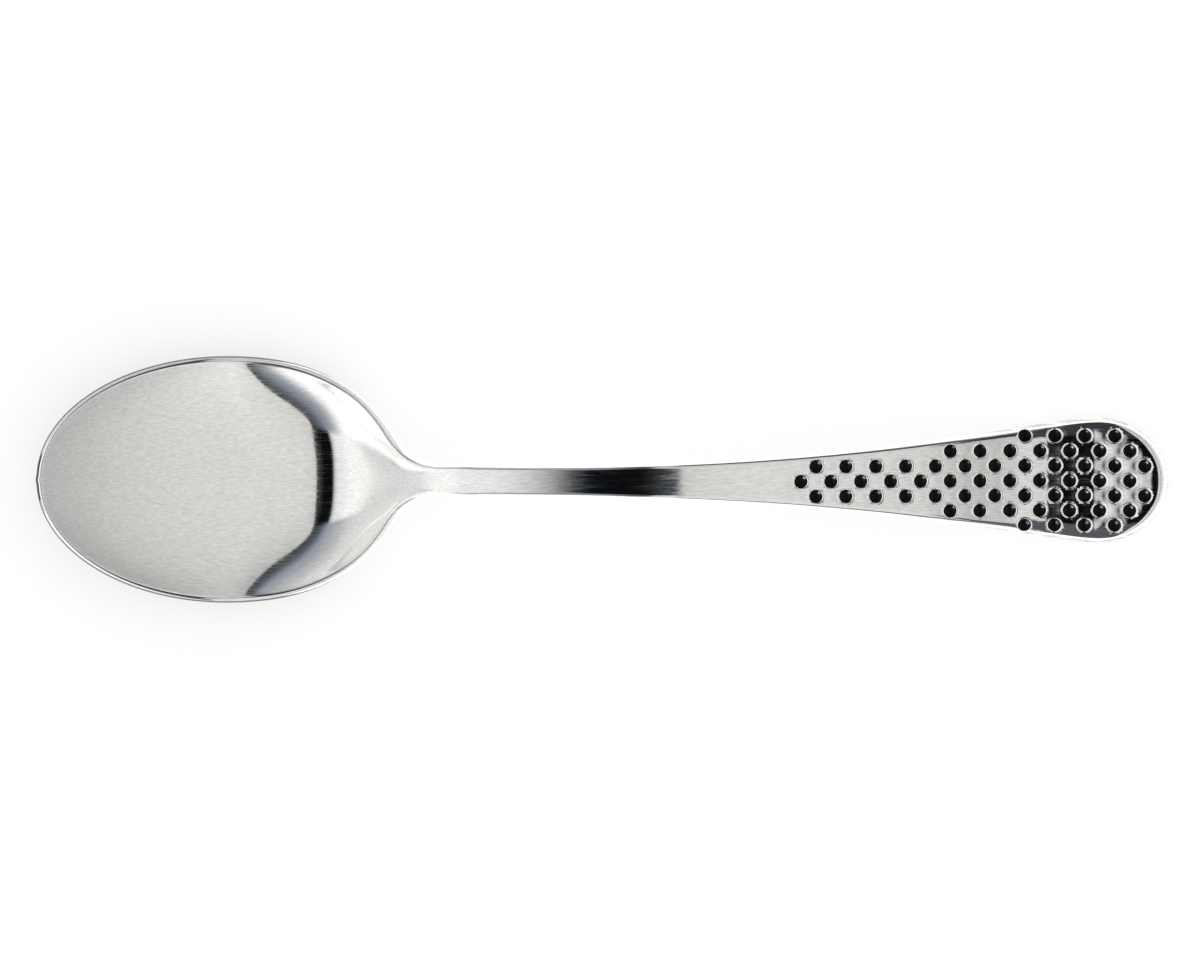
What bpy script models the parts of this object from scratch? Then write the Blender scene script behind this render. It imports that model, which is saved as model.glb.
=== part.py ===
"""Coffee spoon: a forged stainless-steel blank, with black enamel set in pits in its handle.

Metres, +Z up. X runs along the spoon, from the tip of the bowl (-X) to the end of the handle (+X).
The spoon lies as it does on a table: the belly of the bowl and the back of the handle touch Z = 0.
"""

import math

import bmesh
import bpy
import numpy as np
from mathutils import Vector

MM = 0.001

# The spoon seen from above. A place along it is its distance from the tip of the bowl.
LENGTH = 135 * MM
BOWL_WIDTH = 29.5 * MM
BOWL_WIDEST = 22.8 * MM
SHOULDER = 42.6 * MM  # where the edge of the bowl turns hollow, towards the neck
SHOULDER_WIDTH = 10.6 * MM
SHOULDER_TURN = math.radians(56)  # of the edge at the shoulder, from the length of the spoon
NECK = 59 * MM  # the narrowest place
NECK_WIDTH = 3.5 * MM
HANDLE_WIDTH = 14.9 * MM
HANDLE_TURN = 8.2 * MM  # from the widest place of the handle to its end

# The spoon seen from the side: heights of its upper edge, and of the floor of the bowl, above the table
TIP_HEIGHT = 7.7 * MM
TIP_SLOPE = math.radians(18.5)  # of the floor of the bowl at the tip
FLOOR_HEIGHT = 2.6 * MM  # of the floor and of the rim, at the widest place of the bowl
RIM_HEIGHT = 6.4 * MM
RIM_LOW = 3.6 * MM  # from the lowest place of the rim to the shoulder
RIM_LOW_HEIGHT = 5.8 * MM
RIM_LOW_RADIUS = 80 * MM
BELLY = 7.6 * MM  # from the deepest place of the bowl to the shoulder
BELLY_RADIUS = 13.5 * MM  # of the floor there, along the bowl
BOWL_POWER = 3.2  # how flat the floor is across: 2 gives a round hollow, more a flatter one
HEEL = 9.5 * MM  # from the shoulder to where the hollow has run out into the neck
HEEL_HEIGHT = 7.4 * MM
CREST = 69.5 * MM
CREST_HEIGHT = 8.3 * MM
REST = 10.9 * MM  # from the middle of the flat on which the handle rests to its end
REST_LENGTH = 1.6 * MM
END_SLOPE = math.radians(5.4)  # at which the end of the handle rises
END_BEND = 2.2 * MM  # length over which it begins to rise

# Metal
BOWL_THICKNESS = 1.1 * MM
NECK_THICKNESS = 2.7 * MM
HANDLE_THICKNESS = 2.3 * MM
RIM_ROUND = 0.45 * MM  # radius of the edge, on the bowl, the neck and the handle
NECK_ROUND = 0.5 * MM
HANDLE_ROUND = 0.85 * MM
CROWN_RADIUS = 7.6 * MM  # with which the top of the handle falls away towards its edge
CROWN_BREADTH = 3.15 * MM  # how far in from the edge the fall begins, at the sides and at the end
CROWN_END = 2.05 * MM
CROWN_LENGTH = 31 * MM  # from where the fall begins to the end

# Pits, each with its fill of enamel. The field of pits is placed from the end of the handle.
FIELD_LENGTH = 41.1 * MM
FIELD_END = 2.8 * MM  # from the last pits to the end
FIELD_SIDE = 2.1 * MM  # from the outer rows to the edge, where the handle is widest
ROW_START = (0, 1, 10, 15)  # in half steps, for the middle row and each row outwards
ROW_COUNT = (12, 12, 7, 4)
PIT_MARGIN = 0.85 * MM  # no pit is set with its middle nearer than this to the edge
PIT_WIDTH = 1.4 * MM
PIT_DEPTH = 0.8 * MM
PIT_LIP = 0.18 * MM  # radius of the rounded lip
FILL_LEVEL = 0.2 * MM  # of the fill's edge, under the face of the handle
FILL_HOLLOW = 0.26 * MM
FILL_GAP = 0.02 * MM  # bond round the fill

# Facets
EDGE_STEPS = (12, 10, 9, 24, 9)  # tip, side and shoulder of the bowl, flare and end of the handle
FACE_STEPS = 6
ROUND_STEPS = 3
PIT_STEPS = 12

ARC = 4 / 3 * (math.sqrt(2) - 1)  # handle length with which a curve follows a quarter circle
NUDGE = 0.01 * MM


def clear_scene():
    for thing in list(bpy.data.objects):
        bpy.data.objects.remove(thing, do_unlink=True)


def ease(x, start, end):
    """0 before start, 1 after end, with no sudden change of curvature between."""
    t = min(1, max(0, (x - start) / (end - start)))
    return t * t * t * (10 - t * (15 - 6 * t))


def bezier(points, steps):
    """Places along a curve with four control points, and its direction at each."""
    a, b, c, d = (np.array(point, float) for point in points)
    t = np.linspace(0, 1, steps + 1)[:, None]
    s = 1 - t
    places = a * s**3 + 3 * b * s * s * t + 3 * c * s * t * t + d * t**3
    ways = (b - a) * s * s + 2 * (c - b) * s * t + (d - c) * t * t
    return places, ways / np.linalg.norm(ways, axis=1, keepdims=True)


def edge_curves():
    """The edge on the +Y side, from the tip to the end, as five curves of (place, half width)."""
    bowl = BOWL_WIDTH / 2
    neck = NECK_WIDTH / 2
    handle = HANDLE_WIDTH / 2
    shoulder = np.array((SHOULDER, SHOULDER_WIDTH / 2))
    turn = np.array((math.cos(SHOULDER_TURN), -math.sin(SHOULDER_TURN)))
    side = SHOULDER - BOWL_WIDEST
    waist = NECK - SHOULDER
    broad = LENGTH - HANDLE_TURN
    flare = broad - NECK
    return (
        ((0, 0), (0, ARC * bowl), (BOWL_WIDEST * (1 - ARC), bowl), (BOWL_WIDEST, bowl)),
        ((BOWL_WIDEST, bowl), (BOWL_WIDEST + 0.54 * side, bowl), shoulder - 0.35 * side * turn, shoulder),
        (shoulder, shoulder + 0.27 * waist * turn, (NECK - 0.67 * waist, neck), (NECK, neck)),
        ((NECK, neck), (NECK + 0.6 * flare, neck), (broad - 0.1 * flare, handle), (broad, handle)),
        ((broad, handle), (broad + ARC * HANDLE_TURN, handle), (LENGTH, ARC * handle), (LENGTH, 0)),
    )


def edge(steps):
    """Places along the whole edge on the +Y side, and its direction at each."""
    runs = [bezier(points, count) for points, count in zip(edge_curves(), steps)]
    places = [places[1:] for places, ways in runs]
    ways = [ways[1:] for places, ways in runs]
    return np.vstack([runs[0][0][:1]] + places), np.vstack([runs[0][1][:1]] + ways)


FINE_EDGE = edge([200] * 5)[0]
EDGE_RUNS = FINE_EDGE[1:] - FINE_EDGE[:-1]


def half_width(x):
    return float(np.interp(x, FINE_EDGE[:, 0], FINE_EDGE[:, 1]))


def from_edge(x, y):
    """Distance from the edge, seen from above, less than 0 outside it."""
    gaps = (x, abs(y)) - FINE_EDGE[:-1]
    share = np.clip((gaps * EDGE_RUNS).sum(axis=1) / (EDGE_RUNS**2).sum(axis=1), 0, 1)
    gap = float(np.linalg.norm(gaps - share[:, None] * EDGE_RUNS, axis=1).min())
    return gap if abs(y) <= half_width(x) else -gap


def curve(knots, x):
    """Height at x of a curve through knots of place, height, slope and curvature."""
    for low, high in zip(knots, knots[1:]):
        if x <= high[0]:
            break
    span = high[0] - low[0]
    t = (x - low[0]) / span
    slope = low[2] * span
    bend = low[3] * span * span / 2
    p = high[1] - low[1] - slope - bend
    q = high[2] * span - slope - 2 * bend
    r = high[3] * span * span - 2 * bend
    third = 10 * p - 4 * q + r / 2
    fourth = 7 * q - 15 * p - r
    fifth = 6 * p - 3 * q + r / 2
    return low[1] + t * (slope + t * (bend + t * (third + t * (fourth + t * fifth))))


def heel_knot():
    rise = (CREST_HEIGHT - HEEL_HEIGHT) / (CREST - SHOULDER - HEEL)
    return (SHOULDER + HEEL, HEEL_HEIGHT, 1.9 * rise, -rise / (CREST - SHOULDER - HEEL))


def side_line(x):
    """Height of the upper edge: the rim of the bowl, then the top of the neck and the handle."""
    rest = HANDLE_THICKNESS
    start = LENGTH - REST - REST_LENGTH / 2
    end = LENGTH - REST + REST_LENGTH / 2
    run = start - CREST
    drop = CREST_HEIGHT - rest
    rise = math.tan(END_SLOPE)
    knots = (
        (0, TIP_HEIGHT, -0.06, 0),
        (BOWL_WIDEST, RIM_HEIGHT, -0.08, 0),
        (SHOULDER - RIM_LOW, RIM_LOW_HEIGHT, 0, 1 / RIM_LOW_RADIUS),
        heel_knot(),
        (CREST, CREST_HEIGHT, 0, -5.8 * drop / run**2),
        (CREST + 0.66 * run, CREST_HEIGHT - 0.58 * drop, -1.25 * drop / run, 0),
        (start, rest, 0, 0),
        (end, rest, 0, 0),
        (end + END_BEND, rest + rise * END_BEND / 2, rise, 0),
        (LENGTH, rest + rise * (LENGTH - end - END_BEND / 2), rise, 0),
    )
    return curve(knots, x)


def floor_line(x):
    """Height of the middle of the bowl, whose belly just reaches the table."""
    knots = (
        (0, TIP_HEIGHT, -math.tan(TIP_SLOPE), 0.012 / MM),
        (BOWL_WIDEST, FLOOR_HEIGHT, -0.16, 0.004 / MM),
        (SHOULDER - BELLY, BOWL_THICKNESS, 0, 1 / BELLY_RADIUS),
        heel_knot(),
    )
    return curve(knots, x)


def drawn_face(x, y):
    """Height of the upper face as the blank is drawn and pressed."""
    side = side_line(x)
    if x >= SHOULDER + HEEL:
        return side
    width = half_width(x)
    power = BOWL_POWER + (2 - BOWL_POWER) * ease(x, SHOULDER - BELLY, SHOULDER)
    out = (abs(y) / width) ** power if width else 0
    floor = floor_line(x)
    return floor + (side - floor) * out


def top_face(x, y):
    """Height of the upper face, with the end of the handle falling away towards its edge."""
    height = drawn_face(x, y)
    if x > LENGTH - CROWN_LENGTH:
        narrowing = (CROWN_END - CROWN_BREADTH) * ease(x, LENGTH - HANDLE_TURN, LENGTH)
        reach = max(0, CROWN_BREADTH + narrowing - from_edge(x, y))
        height -= ease(x, LENGTH - CROWN_LENGTH, LENGTH - REST) * reach**2 / (2 * CROWN_RADIUS)
    return height


def square_to(face, x, y):
    """Direction square to a face given by its height over each place."""
    left = max(0, x - NUDGE)
    right = min(LENGTH, x + NUDGE)
    along = (face(right, y) - face(left, y)) / (right - left)
    across = (face(x, y + NUDGE) - face(x, y - NUDGE)) / (2 * NUDGE)
    return Vector((-along, -across, 1)).normalized()


def thickness(x):
    heel = (NECK_THICKNESS - BOWL_THICKNESS) * ease(x, SHOULDER - BELLY, SHOULDER + 2 * HEEL)
    handle = (HANDLE_THICKNESS - NECK_THICKNESS) * ease(x, NECK, LENGTH - REST - REST_LENGTH / 2)
    return BOWL_THICKNESS + heel + handle


def rounding(x):
    neck = (NECK_ROUND - RIM_ROUND) * ease(x, SHOULDER - BELLY, SHOULDER + 2 * HEEL)
    handle = (HANDLE_ROUND - NECK_ROUND) * ease(x, NECK, LENGTH - REST)
    return RIM_ROUND + neck + handle


def finished_top(x, y):
    """Height of the upper face of the handle with its rounded edge."""
    in_round = min(1, max(0, 1 - from_edge(x, y) / rounding(x)))
    return top_face(x, y) - rounding(x) * (1 - math.sqrt(1 - in_round**2))


def section(place, way):
    """Half a section: from the middle over the top and round the edge to below the middle."""
    x, y = place.tolist()
    out = Vector((-way[1], way[0], 0))
    radius = rounding(x)
    steep = max(0, -square_to(drawn_face, x, y).dot(out))
    seat = Vector((x, y, 0)) - (radius + (thickness(x) - radius) * steep) * out
    middle = Vector((x, 0, 0))
    if x < BOWL_WIDEST:
        middle.x = BOWL_WIDEST + 0.55 * (x - BOWL_WIDEST)
    if x > LENGTH - HANDLE_TURN:
        middle.x = LENGTH - HANDLE_TURN + 0.2 * (x - LENGTH + HANDLE_TURN)
    upper = []
    lower = []
    for step in range(FACE_STEPS + 1):
        point = middle.lerp(seat, step / FACE_STEPS)
        upper.append(Vector((point.x, point.y, top_face(point.x, point.y))))
        point.z = drawn_face(point.x, point.y)
        lower.append(point - thickness(point.x) * square_to(drawn_face, point.x, point.y))
    turned = []
    for face, end, side in ((top_face, upper[-1], 1), (drawn_face, lower[-1], -1)):
        up = square_to(face, seat.x, seat.y)
        along = (out - out.dot(up) * up).normalized()
        arc = []
        for step in range(1, ROUND_STEPS + 1):
            angle = math.pi / 2 * step / ROUND_STEPS
            arc.append(end + radius * (math.sin(angle) * along - side * (1 - math.cos(angle)) * up))
        turned += arc[::side]
    return upper + turned + lower[::-1]


def steel():
    material = bpy.data.materials.new("stainless_steel")
    material.use_nodes = True
    surface = material.node_tree.nodes["Principled BSDF"]
    surface.inputs["Base Color"].default_value = (0.63, 0.62, 0.6, 1)
    surface.inputs["Metallic"].default_value = 1
    surface.inputs["Roughness"].default_value = 0.18
    return material


def enamel():
    material = bpy.data.materials.new("black_enamel")
    material.use_nodes = True
    surface = material.node_tree.nodes["Principled BSDF"]
    surface.inputs["Base Color"].default_value = (0.006, 0.006, 0.007, 1)
    surface.inputs["Roughness"].default_value = 0.12
    return material


def collection(name):
    made = bpy.data.collections.new(name)
    bpy.context.scene.collection.children.link(made)
    return made


def spoon_body(parts, cutters):
    """The blank: a grid wrapped round half of the spoon, mirrored, with the pits cut into the handle."""
    places, ways = edge(EDGE_STEPS)
    sections = [section(place, way) for place, way in zip(places, ways)]
    columns = len(sections) - 1
    rows = len(sections[0]) - 1
    sheet = bmesh.new()
    bmesh.ops.create_grid(sheet, x_segments=columns, y_segments=rows, size=0.5)
    for vert in sheet.verts:
        column = round((vert.co.x + 0.5) * columns)
        row = round((vert.co.y + 0.5) * rows)
        vert.co = sections[column][row] - Vector((LENGTH / 2, 0, 0))
        if column in (0, columns) or row in (0, rows):
            vert.co.y = 0
    for face in sheet.faces:
        face.smooth = True
    mesh = bpy.data.meshes.new("spoon_body")
    sheet.to_mesh(mesh)
    sheet.free()
    mesh.materials.append(steel())
    body = bpy.data.objects.new("spoon_body", mesh)
    parts.objects.link(body)
    halves = body.modifiers.new("both_sides", "MIRROR")
    halves.use_axis = (False, True, False)
    halves.merge_threshold = NUDGE / 10
    pits = body.modifiers.new("pits", "BOOLEAN")
    pits.operation = "DIFFERENCE"
    pits.operand_type = "COLLECTION"
    pits.collection = cutters
    pits.solver = "EXACT"
    return body


def turned_mesh(name, profile):
    mesh = bpy.data.meshes.new(name)
    points = [(radius, 0, height) for radius, height in profile]
    mesh.from_pydata(points, [(i, i + 1) for i in range(len(points) - 1)], [])
    return mesh


def turn(thing):
    lathe = thing.modifiers.new("turned", "SCREW")
    lathe.steps = PIT_STEPS
    lathe.render_steps = PIT_STEPS
    lathe.use_merge_vertices = True
    lathe.merge_threshold = NUDGE / 10
    lathe.use_smooth_shade = True


def pit_mesh():
    """Cutter for a pit: floor, straight wall and rounded lip, carried on above the face of the handle."""
    wall = PIT_WIDTH / 2
    mouth = wall + PIT_LIP
    above = 2 * PIT_LIP
    lip = 0.3 * PIT_LIP
    return turned_mesh(
        "pit",
        (
            (0, above),
            (mouth, above),
            (mouth, 0),
            (wall + lip, -lip),
            (wall, -PIT_LIP),
            (wall, -PIT_DEPTH),
            (0, -PIT_DEPTH),
        ),
    )


def fill_mesh():
    """Enamel in a pit: a disc with a hollow top, drawn up a little at the wall."""
    radius = PIT_WIDTH / 2 - FILL_GAP
    mesh = turned_mesh(
        "enamel_dot",
        (
            (0, -FILL_LEVEL - FILL_HOLLOW),
            (radius / 2, -FILL_LEVEL - 0.75 * FILL_HOLLOW),
            (radius, -FILL_LEVEL),
            (radius, FILL_GAP - PIT_DEPTH),
            (0, FILL_GAP - PIT_DEPTH),
        ),
    )
    mesh.materials.append(enamel())
    return mesh


def seat_on_handle(thing, x, y):
    """Puts a turned piece on the handle, with its axis square to the face."""
    up = square_to(finished_top, x, y)
    thing.rotation_euler = Vector((0, 0, 1)).rotation_difference(up).to_euler()
    thing.location = (x - LENGTH / 2, y, finished_top(x, y))


def dotted_field(parts, cutters):
    """Staggered rows of pits and fills: a middle row, and three rows to each side of it."""
    pit = pit_mesh()
    fill = fill_mesh()
    step = FIELD_LENGTH / (ROW_START[1] + 2 * (ROW_COUNT[1] - 1))
    gauge = (HANDLE_WIDTH / 2 - FIELD_SIDE) / (len(ROW_START) - 1)
    first = LENGTH - FIELD_END - FIELD_LENGTH
    for row, letter in zip(range(-3, 4), "abcdefg"):
        for number in range(ROW_COUNT[abs(row)]):
            x = first + step * (ROW_START[abs(row)] + 2 * number)
            y = row * gauge
            if from_edge(x, y) < PIT_MARGIN:
                continue
            name = f"{letter}{number + 1:02d}"
            cutter = bpy.data.objects.new("pit_" + name, pit)
            cutters.objects.link(cutter)
            cutter.hide_render = True
            cutter.display_type = "WIRE"
            dot = bpy.data.objects.new("enamel_dot_" + name, fill)
            parts.objects.link(dot)
            for thing in (cutter, dot):
                turn(thing)
                seat_on_handle(thing, x, y)


clear_scene()
spoon = collection("coffee_spoon")
cutting = collection("pit_cutters")
dotted_field(spoon, cutting)
spoon_body(spoon, cutting)
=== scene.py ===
import math

import bmesh
import bpy
import numpy as np
from mathutils import Matrix, Vector


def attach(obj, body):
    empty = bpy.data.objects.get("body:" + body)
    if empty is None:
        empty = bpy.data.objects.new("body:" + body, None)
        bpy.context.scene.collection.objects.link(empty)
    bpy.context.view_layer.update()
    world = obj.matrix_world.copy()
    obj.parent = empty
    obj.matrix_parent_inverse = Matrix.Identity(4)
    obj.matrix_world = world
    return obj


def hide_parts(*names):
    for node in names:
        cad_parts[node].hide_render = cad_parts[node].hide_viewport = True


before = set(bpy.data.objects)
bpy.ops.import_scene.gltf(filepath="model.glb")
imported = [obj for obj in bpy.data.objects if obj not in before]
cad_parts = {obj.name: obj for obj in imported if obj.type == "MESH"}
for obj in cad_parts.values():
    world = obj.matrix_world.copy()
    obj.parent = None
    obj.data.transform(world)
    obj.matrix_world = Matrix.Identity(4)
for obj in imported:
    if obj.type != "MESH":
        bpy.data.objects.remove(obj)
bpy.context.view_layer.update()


# The spoon itself: one forged blank of stainless steel. Bowl, neck and handle are drawn out of one bar, the
# bowl is pressed hollow, the edges are rounded over, and the whole is brushed along its length. The pits in
# the handle are pressed in last, so the face dips a little towards each of them and their lips are round.
MM = 0.001

# Seen from above. A place along the spoon is its distance from the tip of the bowl.
LENGTH = 135 * MM
BOWL_WIDTH = 29.5 * MM
BOWL_WIDEST = 22.8 * MM
SHOULDER = 42.6 * MM  # where the edge of the bowl turns hollow, towards the neck
SHOULDER_WIDTH = 10.6 * MM
SHOULDER_TURN = math.radians(56)  # of the edge at the shoulder, from the length of the spoon
NECK = 59 * MM  # the narrowest place
NECK_WIDTH = 3.5 * MM
HANDLE_WIDTH = 14.9 * MM
HANDLE_TURN = 8.2 * MM  # from the widest place of the handle to its end
SIDE_PULLS = (0.54, 0.35)  # of the edge's curve at both ends of a stretch, as shares of the stretch
WAIST_PULLS = (0.27, 0.67)
FLARE_PULLS = (0.6, 0.1)

# Seen from the side: heights of the upper edge, and of the floor of the bowl, above the table
TIP_HEIGHT = 7.7 * MM
TIP_RIM_SLOPE = -0.06  # of the rim at the tip, along the spoon
TIP_SLOPE = math.radians(18.5)  # of the floor of the bowl at the tip
TIP_BEND = 0.012 / MM  # curvature of the floor there
FLOOR_HEIGHT = 2.6 * MM  # of the floor, at the widest place of the bowl
FLOOR_SLOPE = -0.16
FLOOR_BEND = 0.004 / MM
RIM_HEIGHT = 6.4 * MM  # of the rim, at the same place
RIM_SLOPE = -0.08
RIM_LOW = 3.6 * MM  # from the lowest place of the rim to the shoulder
RIM_LOW_HEIGHT = 5.8 * MM
RIM_LOW_RADIUS = 80 * MM
BELLY = 7.6 * MM  # from the deepest place of the bowl to the shoulder
BELLY_RADIUS = 13.5 * MM  # of the floor there, along the bowl
BOWL_POWER = 3.2  # how flat the floor is across: 2 gives a round hollow, more a flatter one
HEEL = 9.5 * MM  # from the shoulder to where the hollow has run out into the neck
HEEL_HEIGHT = 7.4 * MM
HEEL_STEEPNESS = 1.9  # slope there, against the mean slope up to the crest
CREST = 69.5 * MM
CREST_HEIGHT = 8.3 * MM
CREST_BEND = 5.8  # how sharply the crest is bent, against the drop from it and the run to the rest
SWAY = 0.66  # where the handle turns from arched to hollow, as a share of that run
SWAY_DROP = 0.58  # share of the drop that lies before that place
SWAY_STEEPNESS = 1.25  # slope there, against the mean slope
REST = 10.9 * MM  # from the middle of the flat on which the handle rests to its end
REST_LENGTH = 1.6 * MM
END_SLOPE = math.radians(5.4)  # at which the end of the handle rises
END_BEND = 2.2 * MM  # length over which it begins to rise

# Metal
BOWL_THICKNESS = 1.1 * MM
NECK_THICKNESS = 2.7 * MM
HANDLE_THICKNESS = 2.3 * MM
RIM_ROUND = 0.45 * MM  # radius of the edge, on the bowl, the neck and the handle
NECK_ROUND = 0.5 * MM
HANDLE_ROUND = 0.85 * MM
CROWN_RADIUS = 7.6 * MM  # with which the top of the handle falls away towards its edge
CROWN_BREADTH = 3.15 * MM  # how far in from the edge the fall begins, at the sides and at the end
CROWN_END = 2.05 * MM
CROWN_LENGTH = 31 * MM  # from where the fall begins to the end

# Pits. Their field is placed from the end of the handle.
FIELD_LENGTH = 41.1 * MM
FIELD_END = 2.8 * MM  # from the last pits to the end
FIELD_SIDE = 2.1 * MM  # from the outer rows to the edge, where the handle is widest
ROW_START = (0, 1, 10, 15)  # in half steps, for the middle row and each row outwards
ROW_COUNT = (12, 12, 7, 4)
PIT_WIDTH = 1.5 * MM
PIT_DEPTH = 0.8 * MM
PIT_LIP = 0.2 * MM  # radius of the rounded lip
PIT_RAMP = 0.11 * MM  # breadth of the slope that leads to the lip
RAMP_START = 0.25  # how steeply it begins, as a share of how steeply it ends
LIP_START = math.radians(14)  # how steeply it ends, where the lip begins
MOUTH = PIT_WIDTH / 2 + PIT_LIP * (1 - math.sin(LIP_START)) + PIT_RAMP
DIP_DEPTH = 0.013 * MM  # how far the face is drawn down at the mouth of a pit
DIP_REACH = 0.4 * MM

# Facets
EDGE_STEPS = (36, 30, 27, 300, 60)  # tip, side and shoulder of the bowl, flare and end of the handle
FINE_STEPS = 200
FACE_STEPS = 28
UNDER_STEPS = 8
ROUND_STEPS = 8
PIT_STEPS = 36
LIP_STEPS = 6
RAMP_STEPS = 6
TIP_FAN = 0.55  # how far the lines of facets spread along the middle, at the tip and at the end
END_FAN = 0.2
ARC = 4 / 3 * (math.sqrt(2) - 1)  # pull with which a curve follows a quarter circle
NUDGE = 0.01 * MM


def ease(x, start, end):
    """0 before start, 1 after end, with no sudden change of curvature between."""
    t = min(1, max(0, (x - start) / (end - start)))
    return t * t * t * (10 - t * (15 - 6 * t))


def bezier(points, steps):
    """Places along a curve with four control points, and its direction at each."""
    a, b, c, d = (np.array(point, float) for point in points)
    t = np.linspace(0, 1, steps + 1)[:, None]
    s = 1 - t
    places = a * s**3 + 3 * b * s * s * t + 3 * c * s * t * t + d * t**3
    ways = (b - a) * s * s + 2 * (c - b) * s * t + (d - c) * t * t
    return places, ways / np.linalg.norm(ways, axis=1, keepdims=True)


def edge_curves():
    """The edge on the +Y side, from the tip to the end, as five curves of (place, half width)."""
    bowl = BOWL_WIDTH / 2
    neck = NECK_WIDTH / 2
    handle = HANDLE_WIDTH / 2
    broad = LENGTH - HANDLE_TURN
    shoulder = np.array((SHOULDER, SHOULDER_WIDTH / 2))
    turn = np.array((math.cos(SHOULDER_TURN), -math.sin(SHOULDER_TURN)))
    side_start, side_end = (pull * (SHOULDER - BOWL_WIDEST) for pull in SIDE_PULLS)
    waist_start, waist_end = (pull * (NECK - SHOULDER) for pull in WAIST_PULLS)
    flare_start, flare_end = (pull * (broad - NECK) for pull in FLARE_PULLS)
    return (
        ((0, 0), (0, ARC * bowl), (BOWL_WIDEST * (1 - ARC), bowl), (BOWL_WIDEST, bowl)),
        ((BOWL_WIDEST, bowl), (BOWL_WIDEST + side_start, bowl), shoulder - side_end * turn, shoulder),
        (shoulder, shoulder + waist_start * turn, (NECK - waist_end, neck), (NECK, neck)),
        ((NECK, neck), (NECK + flare_start, neck), (broad - flare_end, handle), (broad, handle)),
        ((broad, handle), (broad + ARC * HANDLE_TURN, handle), (LENGTH, ARC * handle), (LENGTH, 0)),
    )


def edge(steps):
    """Places along the whole edge on the +Y side, and its direction at each."""
    runs = [bezier(points, count) for points, count in zip(edge_curves(), steps)]
    places = [places[1:] for places, ways in runs]
    ways = [ways[1:] for places, ways in runs]
    return np.vstack([runs[0][0][:1]] + places), np.vstack([runs[0][1][:1]] + ways)


FINE_EDGE = edge([FINE_STEPS] * len(EDGE_STEPS))[0]
EDGE_RUNS = FINE_EDGE[1:] - FINE_EDGE[:-1]


def half_width(x):
    return float(np.interp(x, FINE_EDGE[:, 0], FINE_EDGE[:, 1]))


def from_edge(x, y):
    """Distance from the edge, seen from above, less than 0 outside it."""
    gaps = (x, abs(y)) - FINE_EDGE[:-1]
    share = np.clip((gaps * EDGE_RUNS).sum(axis=1) / (EDGE_RUNS**2).sum(axis=1), 0, 1)
    gap = float(np.linalg.norm(gaps - share[:, None] * EDGE_RUNS, axis=1).min())
    return gap if abs(y) <= half_width(x) else -gap


def curve(knots, x):
    """Height at x of a curve through knots of place, height, slope and curvature."""
    for low, high in zip(knots, knots[1:]):
        if x <= high[0]:
            break
    span = high[0] - low[0]
    t = (x - low[0]) / span
    slope = low[2] * span
    bend = low[3] * span * span / 2
    p = high[1] - low[1] - slope - bend
    q = high[2] * span - slope - 2 * bend
    r = high[3] * span * span - 2 * bend
    third = 10 * p - 4 * q + r / 2
    fourth = 7 * q - 15 * p - r
    fifth = 6 * p - 3 * q + r / 2
    return low[1] + t * (slope + t * (bend + t * (third + t * (fourth + t * fifth))))


def heel_knot():
    rise = (CREST_HEIGHT - HEEL_HEIGHT) / (CREST - SHOULDER - HEEL)
    return (SHOULDER + HEEL, HEEL_HEIGHT, HEEL_STEEPNESS * rise, -rise / (CREST - SHOULDER - HEEL))


def side_knots():
    """Knots of the upper edge: the rim of the bowl, then the top of the neck and the handle."""
    rest = HANDLE_THICKNESS
    start = LENGTH - REST - REST_LENGTH / 2
    end = LENGTH - REST + REST_LENGTH / 2
    run = start - CREST
    drop = CREST_HEIGHT - rest
    rise = math.tan(END_SLOPE)
    return (
        (0, TIP_HEIGHT, TIP_RIM_SLOPE, 0),
        (BOWL_WIDEST, RIM_HEIGHT, RIM_SLOPE, 0),
        (SHOULDER - RIM_LOW, RIM_LOW_HEIGHT, 0, 1 / RIM_LOW_RADIUS),
        heel_knot(),
        (CREST, CREST_HEIGHT, 0, -CREST_BEND * drop / run**2),
        (CREST + SWAY * run, CREST_HEIGHT - SWAY_DROP * drop, -SWAY_STEEPNESS * drop / run, 0),
        (start, rest, 0, 0),
        (end, rest, 0, 0),
        (end + END_BEND, rest + rise * END_BEND / 2, rise, 0),
        (LENGTH, rest + rise * (LENGTH - end - END_BEND / 2), rise, 0),
    )


SIDE_LINE = side_knots()
FLOOR_LINE = (
    (0, TIP_HEIGHT, -math.tan(TIP_SLOPE), TIP_BEND),
    (BOWL_WIDEST, FLOOR_HEIGHT, FLOOR_SLOPE, FLOOR_BEND),
    (SHOULDER - BELLY, BOWL_THICKNESS, 0, 1 / BELLY_RADIUS),
    heel_knot(),
)


def drawn_face(x, y):
    """Height of the upper face as the blank is drawn and pressed."""
    side = curve(SIDE_LINE, x)
    if x >= SHOULDER + HEEL:
        return side
    width = half_width(x)
    power = BOWL_POWER + (2 - BOWL_POWER) * ease(x, SHOULDER - BELLY, SHOULDER)
    out = (abs(y) / width) ** power if width else 0
    floor = curve(FLOOR_LINE, x)
    return floor + (side - floor) * out


def top_face(x, y):
    """Height of the upper face, with the end of the handle falling away towards its edge."""
    height = drawn_face(x, y)
    if x > LENGTH - CROWN_LENGTH:
        narrowing = (CROWN_END - CROWN_BREADTH) * ease(x, LENGTH - HANDLE_TURN, LENGTH)
        reach = max(0, CROWN_BREADTH + narrowing - from_edge(x, y))
        height -= ease(x, LENGTH - CROWN_LENGTH, LENGTH - REST) * reach**2 / (2 * CROWN_RADIUS)
    return height


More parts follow.
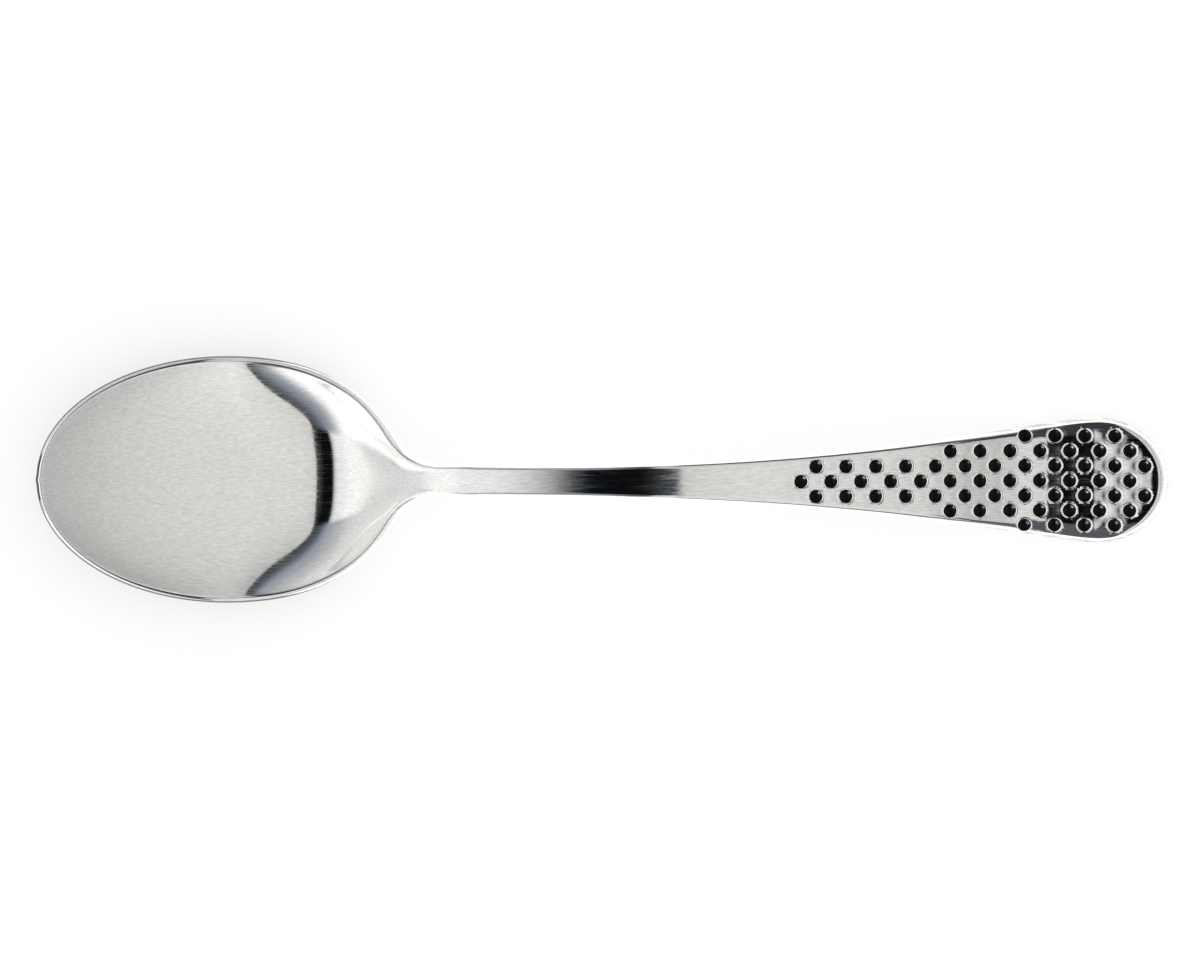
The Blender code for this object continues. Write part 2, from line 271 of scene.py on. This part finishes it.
def square_to(face, x, y):
    """Direction square to a face given by its height over each place."""
    left = max(0, x - NUDGE)
    right = min(LENGTH, x + NUDGE)
    along = (face(right, y) - face(left, y)) / (right - left)
    across = (face(x, y + NUDGE) - face(x, y - NUDGE)) / (2 * NUDGE)
    return Vector((-along, -across, 1)).normalized()


def thickness(x):
    heel = (NECK_THICKNESS - BOWL_THICKNESS) * ease(x, SHOULDER - BELLY, SHOULDER + 2 * HEEL)
    handle = (HANDLE_THICKNESS - NECK_THICKNESS) * ease(x, NECK, LENGTH - REST - REST_LENGTH / 2)
    return BOWL_THICKNESS + heel + handle


def rounding(x):
    neck = (NECK_ROUND - RIM_ROUND) * ease(x, SHOULDER - BELLY, SHOULDER + 2 * HEEL)
    handle = (HANDLE_ROUND - NECK_ROUND) * ease(x, NECK, LENGTH - REST)
    return RIM_ROUND + neck + handle


def handle_top(x, y):
    """Height of the upper face of the handle with its rounded edge."""
    in_round = min(1, max(0, 1 - from_edge(x, y) / rounding(x)))
    return top_face(x, y) - rounding(x) * (1 - math.sqrt(1 - in_round**2))


def section(place, way):
    """Half a section: from the middle over the top and round the edge to below the middle."""
    x, y = place.tolist()
    out = Vector((-way[1], way[0], 0))
    radius = rounding(x)
    steep = max(0, -square_to(drawn_face, x, y).dot(out))
    seat = Vector((x, y, 0)) - (radius + (thickness(x) - radius) * steep) * out
    middle = Vector((x, 0, 0))
    if x < BOWL_WIDEST:
        middle.x = BOWL_WIDEST + TIP_FAN * (x - BOWL_WIDEST)
    if x > LENGTH - HANDLE_TURN:
        middle.x = LENGTH - HANDLE_TURN + END_FAN * (x - LENGTH + HANDLE_TURN)
    upper = [middle.lerp(seat, step / FACE_STEPS) for step in range(FACE_STEPS + 1)]
    for point in upper:
        point.z = top_face(point.x, point.y)
    lower = [middle.lerp(seat, step / UNDER_STEPS) for step in range(UNDER_STEPS + 1)]
    for point in lower:
        point.z = drawn_face(point.x, point.y)
        point -= thickness(point.x) * square_to(drawn_face, point.x, point.y)
    rounded = []
    for face, end, side in ((top_face, upper[-1], 1), (drawn_face, lower[-1], -1)):
        up = square_to(face, seat.x, seat.y)
        along = (out - out.dot(up) * up).normalized()
        arc = []
        for step in range(1, ROUND_STEPS + 1):
            angle = math.pi / 2 * step / ROUND_STEPS
            arc.append(end + radius * (math.sin(angle) * along - side * (1 - math.cos(angle)) * up))
        rounded += arc[::side]
    return upper + rounded + lower[::-1]


def pit_places():
    """Name and place of each pit: rows a to g from -Y to +Y, numbered from the neck to the end."""
    outer = len(ROW_START) - 1
    step = FIELD_LENGTH / (ROW_START[1] + 2 * (ROW_COUNT[1] - 1))
    gauge = (HANDLE_WIDTH / 2 - FIELD_SIDE) / outer
    first = LENGTH - FIELD_END - FIELD_LENGTH
    return {
        f"{letter}{number + 1:02d}": (first + step * (ROW_START[abs(row)] + 2 * number), row * gauge)
        for row, letter in zip(range(-outer, outer + 1), "abcdefg")
        for number in range(ROW_COUNT[abs(row)])
    }


PITS = pit_places()
PIT_MIDDLES = np.array(list(PITS.values()))


def dip(x, y):
    """How far the face is drawn down towards the pits round this place."""
    away = np.hypot(PIT_MIDDLES[:, 0] - x, PIT_MIDDLES[:, 1] - y) - MOUTH
    return DIP_DEPTH * float(np.exp(-np.maximum(0, away / DIP_REACH) ** 2).sum())


def pressed_top(x, y):
    return handle_top(x, y) - dip(x, y)


def finished(name, shape, material):
    """Object made from a bmesh, smooth all over."""
    for face in shape.faces:
        face.smooth = True
    mesh = bpy.data.meshes.new(name)
    shape.to_mesh(mesh)
    shape.free()
    mesh.materials.append(material)
    made = bpy.data.objects.new(name, mesh)
    bpy.context.scene.collection.objects.link(made)
    return made


def turned(shape, profile, steps):
    """Adds to a bmesh what a profile of (radius, height) sweeps round Z, and gives its corners."""
    first = [shape.verts.new((radius, 0, height)) for radius, height in profile]
    line = [shape.edges.new(ends) for ends in zip(first, first[1:])]
    before = set(shape.verts) - set(first)
    bmesh.ops.spin(
        shape,
        geom=first + line,
        axis=(0, 0, 1),
        cent=(0, 0, 0),
        angle=2 * math.pi,
        steps=steps,
        use_merge=True,
    )
    made = [vert for vert in shape.verts if vert not in before]
    bmesh.ops.remove_doubles(shape, verts=made, dist=NUDGE / 10)
    return [vert for vert in shape.verts if vert not in before]


def blank():
    """The spoon with no pits: a grid wrapped round one half of it, and mirrored."""
    places, ways = edge(EDGE_STEPS)
    sections = [section(place, way) for place, way in zip(places, ways)]
    columns = len(sections) - 1
    rows = len(sections[0]) - 1
    shape = bmesh.new()
    bmesh.ops.create_grid(shape, x_segments=columns, y_segments=rows, size=0.5)
    for vert in shape.verts:
        column = round((vert.co.x + 0.5) * columns)
        row = round((vert.co.y + 0.5) * rows)
        vert.co = sections[column][row]
        if row < FACE_STEPS + ROUND_STEPS:
            vert.co.z -= dip(vert.co.x, vert.co.y)
        vert.co.x -= LENGTH / 2
        if column in (0, columns) or row in (0, rows):
            vert.co.y = 0
    half = shape.verts[:] + shape.edges[:] + shape.faces[:]
    bmesh.ops.mirror(shape, geom=half, axis="Y", merge_dist=NUDGE / 10)
    bmesh.ops.remove_doubles(shape, verts=shape.verts[:], dist=NUDGE / 10)
    bmesh.ops.recalc_face_normals(shape, faces=shape.faces[:])
    return shape


def pit_profile():
    """From above the mouth of a pit down its ramp, its lip and its wall to its floor."""
    wall = PIT_WIDTH / 2
    above = 2 * PIT_LIP
    steep = PIT_RAMP * math.tan(LIP_START)
    profile = [(0, above), (MOUTH, above)]
    for step in range(RAMP_STEPS):
        share = step / RAMP_STEPS
        fall = steep * share * (RAMP_START + (1 - RAMP_START) / 2 * share)
        profile.append((MOUTH - PIT_RAMP * share, -fall))
    fallen = steep * (1 + RAMP_START) / 2
    for step in range(LIP_STEPS + 1):
        angle = LIP_START + (math.pi / 2 - LIP_START) * step / LIP_STEPS
        fall = fallen + PIT_LIP * (math.cos(LIP_START) - math.cos(angle))
        profile.append((wall + PIT_LIP * (1 - math.sin(angle)), -fall))
    return profile + [(wall, -PIT_DEPTH), (0, -PIT_DEPTH)]


def pit_cutters():
    """What the punch takes out of the handle, with each pit's mouth following the face."""
    shape = bmesh.new()
    for x, y in PITS.values():
        up = square_to(pressed_top, x, y)
        along = Vector((up.z, 0, -up.x)).normalized()
        across = up.cross(along)
        for vert in turned(shape, pit_profile(), PIT_STEPS):
            place = Vector((x, y, 0)) + along * vert.co.x + across * vert.co.y
            place.z = pressed_top(place.x, place.y)
            vert.co = place + up * vert.co.z - Vector((LENGTH / 2, 0, 0))
    bmesh.ops.recalc_face_normals(shape, faces=shape.faces[:])
    return shape


def linear(colour):
    """sRGB hex as the linear colour that a shader takes."""
    parts = [int(colour[i:i + 2], 16) / 255 for i in (1, 3, 5)]
    return [part / 12.92 if part <= 0.04045 else ((part + 0.055) / 1.055) ** 2.4 for part in parts] + [1]


def add(tree, kind, inputs, **settings):
    """Adds a node with its settings. Each input is a value, or the socket that it is linked to."""
    node = tree.nodes.new("ShaderNode" + kind)
    for name, value in settings.items():
        setattr(node, name, value)
    for name, value in inputs.items():
        if isinstance(value, bpy.types.NodeSocket):
            tree.links.new(value, node.inputs[name])
        else:
            node.inputs[name].default_value = value
    return node


def new_material(name):
    material = bpy.data.materials.new(name)
    material.use_nodes = True
    tree = material.node_tree
    tree.nodes.clear()
    return material, tree, add(tree, "OutputMaterial", {})


# Length and breadth of a brush line, and of the dull streaks that run on through many lines. Both are drawn
# coarser than on the real spoon, where they would be too fine to show.
BRUSH_LINE = (1.4 * MM, 0.15 * MM)
DULL_STREAK = (5 * MM, 0.16 * MM)
BRUSH_DEPTH = 0.004 * MM


def brushed_steel():
    """Stainless steel with a fine brushed grain along the spoon, which spreads reflections sideways."""
    material, tree, output = new_material("brushed_stainless_steel")
    place = add(tree, "TexCoord", {}).outputs["Object"]
    length, breadth = BRUSH_LINE
    fine = add(tree, "Mapping", {"Vector": place, "Scale": (1 / length, 1 / breadth, 1 / breadth)})
    lines = add(tree, "TexNoise", {"Vector": fine.outputs[0], "Scale": 1, "Detail": 3, "Roughness": 0.6})
    length, breadth = DULL_STREAK
    broad = add(tree, "Mapping", {"Vector": place, "Scale": (1 / length, 1 / breadth, 1 / breadth)})
    streaks = add(tree, "TexNoise", {"Vector": broad.outputs[0], "Scale": 1, "Detail": 3})
    tone = add(tree, "MapRange", {"Value": lines.outputs[0], "From Min": 0.3, "From Max": 0.7})
    colour = add(
        tree,
        "MixRGB",
        {"Fac": tone.outputs[0], "Color1": linear("#DCDBD9"), "Color2": linear("#F8F7F5")},
    )
    rough = add(
        tree,
        "MapRange",
        {"Value": streaks.outputs[0], "From Min": 0.42, "From Max": 0.72, "To Min": 0.04, "To Max": 0.16},
    )
    grain = add(tree, "Bump", {"Height": lines.outputs[0], "Strength": 0.2, "Distance": BRUSH_DEPTH})
    brush = add(tree, "Tangent", {}, direction_type="UV_MAP", uv_map="brush")
    surface = add(
        tree,
        "BsdfPrincipled",
        {
            "Base Color": colour.outputs[0],
            "Metallic": 1,
            "Roughness": rough.outputs[0],
            "Anisotropic": 0.8,
            "Anisotropic Rotation": 0.25,
            "Tangent": brush.outputs[0],
            "Normal": grain.outputs[0],
        },
    )
    tree.links.new(surface.outputs[0], output.inputs[0])
    return material


STEEL = brushed_steel()
spoon = finished("spoon", blank(), STEEL)
punch = finished("punch", pit_cutters(), STEEL)
cut = spoon.modifiers.new("pits", "BOOLEAN")
cut.operation = "DIFFERENCE"
cut.object = punch
cut.solver = "EXACT"
pressed = bpy.data.meshes.new_from_object(spoon.evaluated_get(bpy.context.evaluated_depsgraph_get()))
spoon.modifiers.clear()
spoon.data = pressed
bpy.data.objects.remove(punch)
# The brush ran along X, so its map has X as its first axis.
brush_map = pressed.uv_layers.new(name="brush")
for loop in pressed.loops:
    corner = pressed.vertices[loop.vertex_index].co
    brush_map.data[loop.index].uv = (corner.x / LENGTH, (corner.y + corner.z) / LENGTH)
even = spoon.modifiers.new("even_shading", "WEIGHTED_NORMAL")
even.mode = "FACE_AREA"
even.weight = 50
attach(spoon, "root")
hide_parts("spoon_body")


# The black dots: glass enamel, run into the pits and fired there, so it sits fast with no fixing. Its
# surface is hollow, because it draws up the wall of the pit as it cools.
FILL_LEVEL = 0.2 * MM  # of the fill's edge, under the face of the handle
FILL_HOLLOW = 0.26 * MM
FILL_GAP = 0.02 * MM
FILL_RINGS = (0, 0.2, 0.4, 0.6, 0.8, 0.9, 1)  # of the hollow, as shares of its radius
FILL_STEPS = 32
PEEL = 0.5 * MM  # breadth of a ripple in the enamel, and how deep the ripples are
PEEL_DEPTH = 0.01 * MM


def black_enamel():
    """Fired glass enamel: deep black, glossy, with a faint orange peel."""
    material, tree, output = new_material("black_glass_enamel")
    place = add(tree, "TexCoord", {}).outputs["Object"]
    peel = add(tree, "TexNoise", {"Vector": place, "Scale": 1 / PEEL, "Detail": 2})
    skin = add(tree, "Bump", {"Height": peel.outputs[0], "Strength": 0.2, "Distance": PEEL_DEPTH})
    shade = add(tree, "MapRange", {"Value": peel.outputs[0], "To Min": 0.14, "To Max": 0.22})
    surface = add(
        tree,
        "BsdfPrincipled",
        {
            "Base Color": linear("#08080A"),
            "Roughness": shade.outputs[0],
            "Specular IOR Level": 0.08,
            "Normal": skin.outputs[0],
        },
    )
    tree.links.new(surface.outputs[0], output.inputs[0])
    return material


def fill_profile():
    """From the middle of the hollow out to the wall of the pit, and down to its floor."""
    radius = PIT_WIDTH / 2 - FILL_GAP
    floor = FILL_GAP - PIT_DEPTH
    hollow = [(radius * share, -FILL_LEVEL - FILL_HOLLOW * (1 - share**2)) for share in FILL_RINGS]
    return hollow + [(radius, floor), (0, floor)]


ENAMEL = black_enamel()
FILLS = bpy.data.collections.new("enamel_fills")
for name, (x, y) in PITS.items():
    shape = bmesh.new()
    turned(shape, fill_profile(), FILL_STEPS)
    bmesh.ops.recalc_face_normals(shape, faces=shape.faces[:])
    up = square_to(handle_top, x, y)
    tilt = Vector((0, 0, 1)).rotation_difference(up).to_matrix().to_4x4()
    move = Matrix.Translation((x - LENGTH / 2, y, handle_top(x, y)))
    bmesh.ops.transform(shape, matrix=move @ tilt, verts=shape.verts[:])
    fill = finished("enamel_" + name, shape, ENAMEL)
    FILLS.objects.link(fill)
    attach(fill, "root")
    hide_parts("enamel_dot_" + name)


# The table: a broad sheet of matt white paper, lying flat under the spoon. A glow of its own lifts it to
# white in the picture, and more so in what the steel mirrors. It keeps a faint shadow of the spoon.
TABLE_REACH = 3
PAPER_GLOW = 0.55
PAPER_GLOW_MIRRORED = 0.9


def white_paper():
    """Uncoated paper: flat white, with no gloss."""
    material, tree, output = new_material("white_paper")
    matt = add(tree, "BsdfDiffuse", {"Color": linear("#B8B8B8")})
    mirrored = add(tree, "LightPath", {}).outputs["Is Glossy Ray"]
    strength = add(
        tree,
        "MapRange",
        {"Value": mirrored, "To Min": PAPER_GLOW, "To Max": PAPER_GLOW_MIRRORED},
    )
    glow = add(tree, "Emission", {"Color": linear("#FFFFFF"), "Strength": strength.outputs[0]})
    both = add(tree, "AddShader", {})
    tree.links.new(matt.outputs[0], both.inputs[0])
    tree.links.new(glow.outputs[0], both.inputs[1])
    tree.links.new(both.outputs[0], output.inputs[0])
    return material


shape = bmesh.new()
bmesh.ops.create_grid(shape, x_segments=1, y_segments=1, size=TABLE_REACH)
table = finished("table", shape, white_paper())


# The light tent: lit sheets of white cloth, hung over the table for the steel to mirror. The right-hand
# sheet is parted from the rest by a dark opening above the camera, and by a grey fold before and behind
# that opening. Only reflections see the tent.
TENT_RADIUS = 4
TENT_GLOW = 1.9
SECOND_BOUNCE = 1.3  # how much brighter the steel sees the tent by way of another place on the steel
OPENING = (-0.5, 0.33)  # its ends towards -Y and +Y, as a slope from straight up
OPENING_BLUR = 0.1  # softness of these ends, as a share of the slope
SHEET_EDGE = math.radians(7.9)  # of the right-hand sheet, at the middle of the opening
SHEET_BLUR = 0.005
SHEET_BOW = math.radians(3.4)  # how much nearer the edge comes beyond the ends of the opening
BOW_SPAN = (0.05, 0.55)  # from the middle of the opening to where it starts and stops coming nearer
SHEET_SPAN = (-1.5, 1.5)  # from front to back, and how the light falls off between
SHEET_LIGHT = (1.25, 0.85)
TENT = {  # degrees from straight up, towards +X, and the tone of the tent there
    "sheet": (
        (7, "#A1A1A0"), (10, "#A8A7A6"), (13, "#ADACAB"), (17, "#A9A8A7"), (20, "#A3A2A1"),
        (24, "#9B9B9A"), (27, "#969594"), (30, "#919191"), (36, "#8B8B8B"), (44, "#A9A9A9"),
        (56, "#B4B4B4"), (64, "#B8B8B8"), (74, "#BFBFBF"), (84, "#BCBCBC"), (90, "#939393"),
    ),
    "over": (
        (-90, "#3A3A3A"), (-80, "#636363"), (-72, "#ADADAD"), (-63, "#B1B1B1"), (-57, "#B8B8B8"),
        (-50, "#C4C4C4"), (-40, "#CBCBCB"), (-26, "#C9C9C9"), (-20, "#C2C2C2"), (-14, "#BDBEC1"),
        (-11, "#BBBDBF"), (-9.5, "#B6B7BA"), (-8, "#AAABAE"), (-6.8, "#9B9C9E"), (-6, "#8E8F91"),
        (-5.3, "#77787A"), (-4.9, "#606060"), (-4.3, "#2D3034"), (-3.7, "#0E1011"), (-3, "#060708"),
        (1.5, "#060708"), (3.8, "#090A0B"), (5, "#191B1D"), (6, "#25282B"), (7, "#323539"),
        (8.2, "#393C41"),
    ),
    "front": (
        (-90, "#DBDBDB"), (-40, "#D5D5D5"), (-27, "#BFBFBF"), (-18, "#9B9C9E"), (-11, "#7A8089"),
        (-4, "#676C74"), (1, "#474B51"), (5, "#34363B"), (8, "#303337"),
    ),
    "back": (
        (-90, "#B8B8B8"), (-53, "#ADADAD"), (-20, "#8E8F91"), (-6.5, "#787E87"), (-3, "#646971"),
        (0, "#45494F"), (3, "#34363B"), (8, "#303337"),
    ),
}


def tent_cloth():
    """White cloth lit from outside: a soft glow, brighter or darker from sheet to sheet."""
    material, tree, output = new_material("tent_cloth")
    place = add(tree, "TexCoord", {}).outputs["Object"]
    parts = add(tree, "SeparateXYZ", {"Vector": place})
    height = add(tree, "Math", {0: parts.outputs["Z"], 1: MM}, operation="MAXIMUM")
    angle = add(tree, "Math", {0: parts.outputs["X"], 1: height.outputs[0]}, operation="ARCTAN2")
    share = add(
        tree,
        "MapRange",
        {"Value": angle.outputs[0], "From Min": -math.pi / 2, "From Max": math.pi / 2},
    )
    flat = add(tree, "CombineXYZ", {"X": parts.outputs["X"], "Z": height.outputs[0]})
    reach = add(tree, "VectorMath", {0: flat.outputs[0]}, operation="LENGTH")
    depth = add(tree, "Math", {0: parts.outputs["Y"], 1: reach.outputs["Value"]}, operation="DIVIDE")
    tones = {}
    for name, stops in TENT.items():
        ramp = add(tree, "ValToRGB", {"Fac": share.outputs[0]})
        while len(ramp.color_ramp.elements) < len(stops):
            ramp.color_ramp.elements.new(0.5)
        for stop, (degrees, colour) in zip(ramp.color_ramp.elements, stops):
            stop.position = (degrees + 90) / 180
            stop.color = linear(colour)
        tones[name] = ramp.outputs[0]

    # The opening over the spoon, with the fold before it and the fold behind it
    mixed = tones["over"]
    for name, end in zip(("front", "back"), OPENING):
        past = add(
            tree,
            "MapRange",
            {
                "Value": depth.outputs[0],
                "From Min": (1 - OPENING_BLUR) * end,
                "From Max": (1 + OPENING_BLUR) * end,
            },
        )
        mix = add(tree, "MixRGB", {"Fac": past.outputs[0], "Color1": mixed, "Color2": tones[name]})
        mixed = mix.outputs[0]

    # The right-hand sheet, whose edge bows towards the opening at its ends
    light = add(
        tree,
        "MapRange",
        {
            "Value": depth.outputs[0],
            "From Min": SHEET_SPAN[0],
            "From Max": SHEET_SPAN[1],
            "To Min": SHEET_LIGHT[0],
            "To Max": SHEET_LIGHT[1],
        },
    )
    sheet = add(
        tree,
        "MixRGB",
        {"Fac": 1, "Color1": tones["sheet"], "Color2": light.outputs[0]},
        blend_type="MULTIPLY",
    )
    middle = add(tree, "Math", {0: depth.outputs[0], 1: -sum(OPENING) / 2}, operation="ADD")
    out = add(tree, "Math", {0: middle.outputs[0]}, operation="ABSOLUTE")
    bow = add(
        tree,
        "MapRange",
        {
            "Value": out.outputs[0],
            "From Min": BOW_SPAN[0],
            "From Max": BOW_SPAN[1],
            "To Min": SHEET_EDGE,
            "To Max": SHEET_EDGE - SHEET_BOW,
        },
        interpolation_type="SMOOTHSTEP",
    )
    past = add(tree, "Math", {0: angle.outputs[0], 1: bow.outputs[0]}, operation="SUBTRACT")
    on_sheet = add(
        tree,
        "MapRange",
        {"Value": past.outputs[0], "From Min": -SHEET_BLUR, "From Max": SHEET_BLUR},
    )
    mixed = add(tree, "MixRGB", {"Fac": on_sheet.outputs[0], "Color1": mixed, "Color2": sheet.outputs[0]})

    # What the steel sees of itself shows the tent a little brighter, to make up for the second bounce.
    bounce = add(tree, "LightPath", {}).outputs["Ray Depth"]
    strength = add(
        tree,
        "MapRange",
        {
            "Value": bounce,
            "From Min": 1,
            "From Max": 2,
            "To Min": TENT_GLOW,
            "To Max": SECOND_BOUNCE * TENT_GLOW,
        },
    )
    glow = add(tree, "Emission", {"Color": mixed.outputs[0], "Strength": strength.outputs[0]})
    tree.links.new(glow.outputs[0], output.inputs[0])
    return material


def show_in_reflections_only(thing):
    thing.visible_camera = False
    thing.visible_diffuse = False
    thing.visible_shadow = False


shape = bmesh.new()
bmesh.ops.create_uvsphere(shape, u_segments=64, v_segments=32, radius=TENT_RADIUS)
tent = finished("tent", shape, tent_cloth())
show_in_reflections_only(tent)


# The cards: flat sheets that glow with a fixed grey of their own, standing in for plain grey boards, which
# the round edges of the spoon mirror as thin lines. Only reflections see them. One stands off the tip of
# the bowl, one lies under the bowl, one runs along each side of the handle and one stands on each side of
# its end.
CARDS = {  # colour, and two opposite corners in mm
    "tip_card": ("#3A3D42", (-80, -7, 0), (-80, 7, 15)),
    "bowl_card": ("#94979C", (-110, -60, 0.1), (-30, 60, 0.1)),
    "long_front_card": ("#8A8E94", (10, -22, 8), (53, -22, 17)),
    "long_back_card": ("#5A5E64", (10, 22, 8), (53, 22, 22)),
    "front_card": ("#5A5E64", (53, -24, 2), (64, -24, 55)),
    "back_card": ("#3A3D42", (53, 23, 2), (64, 23, 55)),
}
for name, (colour, low, high) in CARDS.items():
    material, tree, output = new_material(name)
    # Each card's grey is a glow of its own, not a board lit by the room.
    glow = add(tree, "Emission", {"Color": linear(colour)})
    tree.links.new(glow.outputs[0], output.inputs[0])
    first = MM * Vector(low)
    last = MM * Vector(high)
    side = Vector((last.x - first.x, 0, 0))
    if low[0] == high[0]:
        side = Vector((0, last.y - first.y, 0))
    shape = bmesh.new()
    shape.faces.new([shape.verts.new(corner) for corner in (first, first + side, last, last - side)])
    card = finished(name, shape, material)
    show_in_reflections_only(card)


# The room: white walls all round, a long way off. They light the spoon and the table evenly from every
# side, and give the table its faint shadow.
room = bpy.data.worlds.new("white_room")
bpy.context.scene.world = room
room.use_nodes = True
walls = room.node_tree.nodes["Background"]
walls.inputs["Color"].default_value = linear("#FFFFFF")
walls.inputs["Strength"].default_value = 1


# The lamp: a square soft box to the left, in front of the spoon. It lights the enamel alone, and gives it
# soft glints. On the steel it would show as a white blot in the lip of every pit.
LAMP_SIZE = 0.5
LAMP_POWER = 70
LAMP_PLACE = Vector((-0.45, -0.75, 0.5))
lamp = bpy.data.lights.new("soft_lamp", "AREA")
lamp.shape = "SQUARE"
lamp.size = LAMP_SIZE
lamp.energy = LAMP_POWER
lamp.color = linear("#F3FCFF")[:3]
soft_lamp = bpy.data.objects.new("soft_lamp", lamp)
soft_lamp.visible_diffuse = False
soft_lamp.light_linking.receiver_collection = FILLS
bpy.context.scene.collection.objects.link(soft_lamp)
soft_lamp.location = LAMP_PLACE
soft_lamp.rotation_euler = (-LAMP_PLACE).to_track_quat("-Z", "Y").to_euler()


# The camera: on a stand inside the tent, under its opening. It looks down nearly straight, leaning a little
# to the front, with the bowl to the left of the picture.
FIELD = 142.88 * MM  # breadth of the picture at the spoon
DISTANCE = 1.2
LEAN = math.radians(3)
TURN = math.radians(0.16)
AIM = Vector((-0.32 * MM, 0.1 * MM, 6 * MM))
view = bpy.data.cameras.new("camera")
view.sensor_width = 36
view.lens = view.sensor_width * DISTANCE / FIELD
view.clip_end = 20
camera = bpy.data.objects.new("camera", view)
bpy.context.scene.collection.objects.link(camera)
turn = Matrix.Rotation(TURN, 4, "Z") @ Matrix.Rotation(-LEAN, 4, "X")
camera.matrix_world = Matrix.Translation(AIM) @ turn @ Matrix.Translation((0, 0, DISTANCE))
bpy.context.scene.camera = camera
bpy.context.scene.view_settings.view_transform = "Standard"
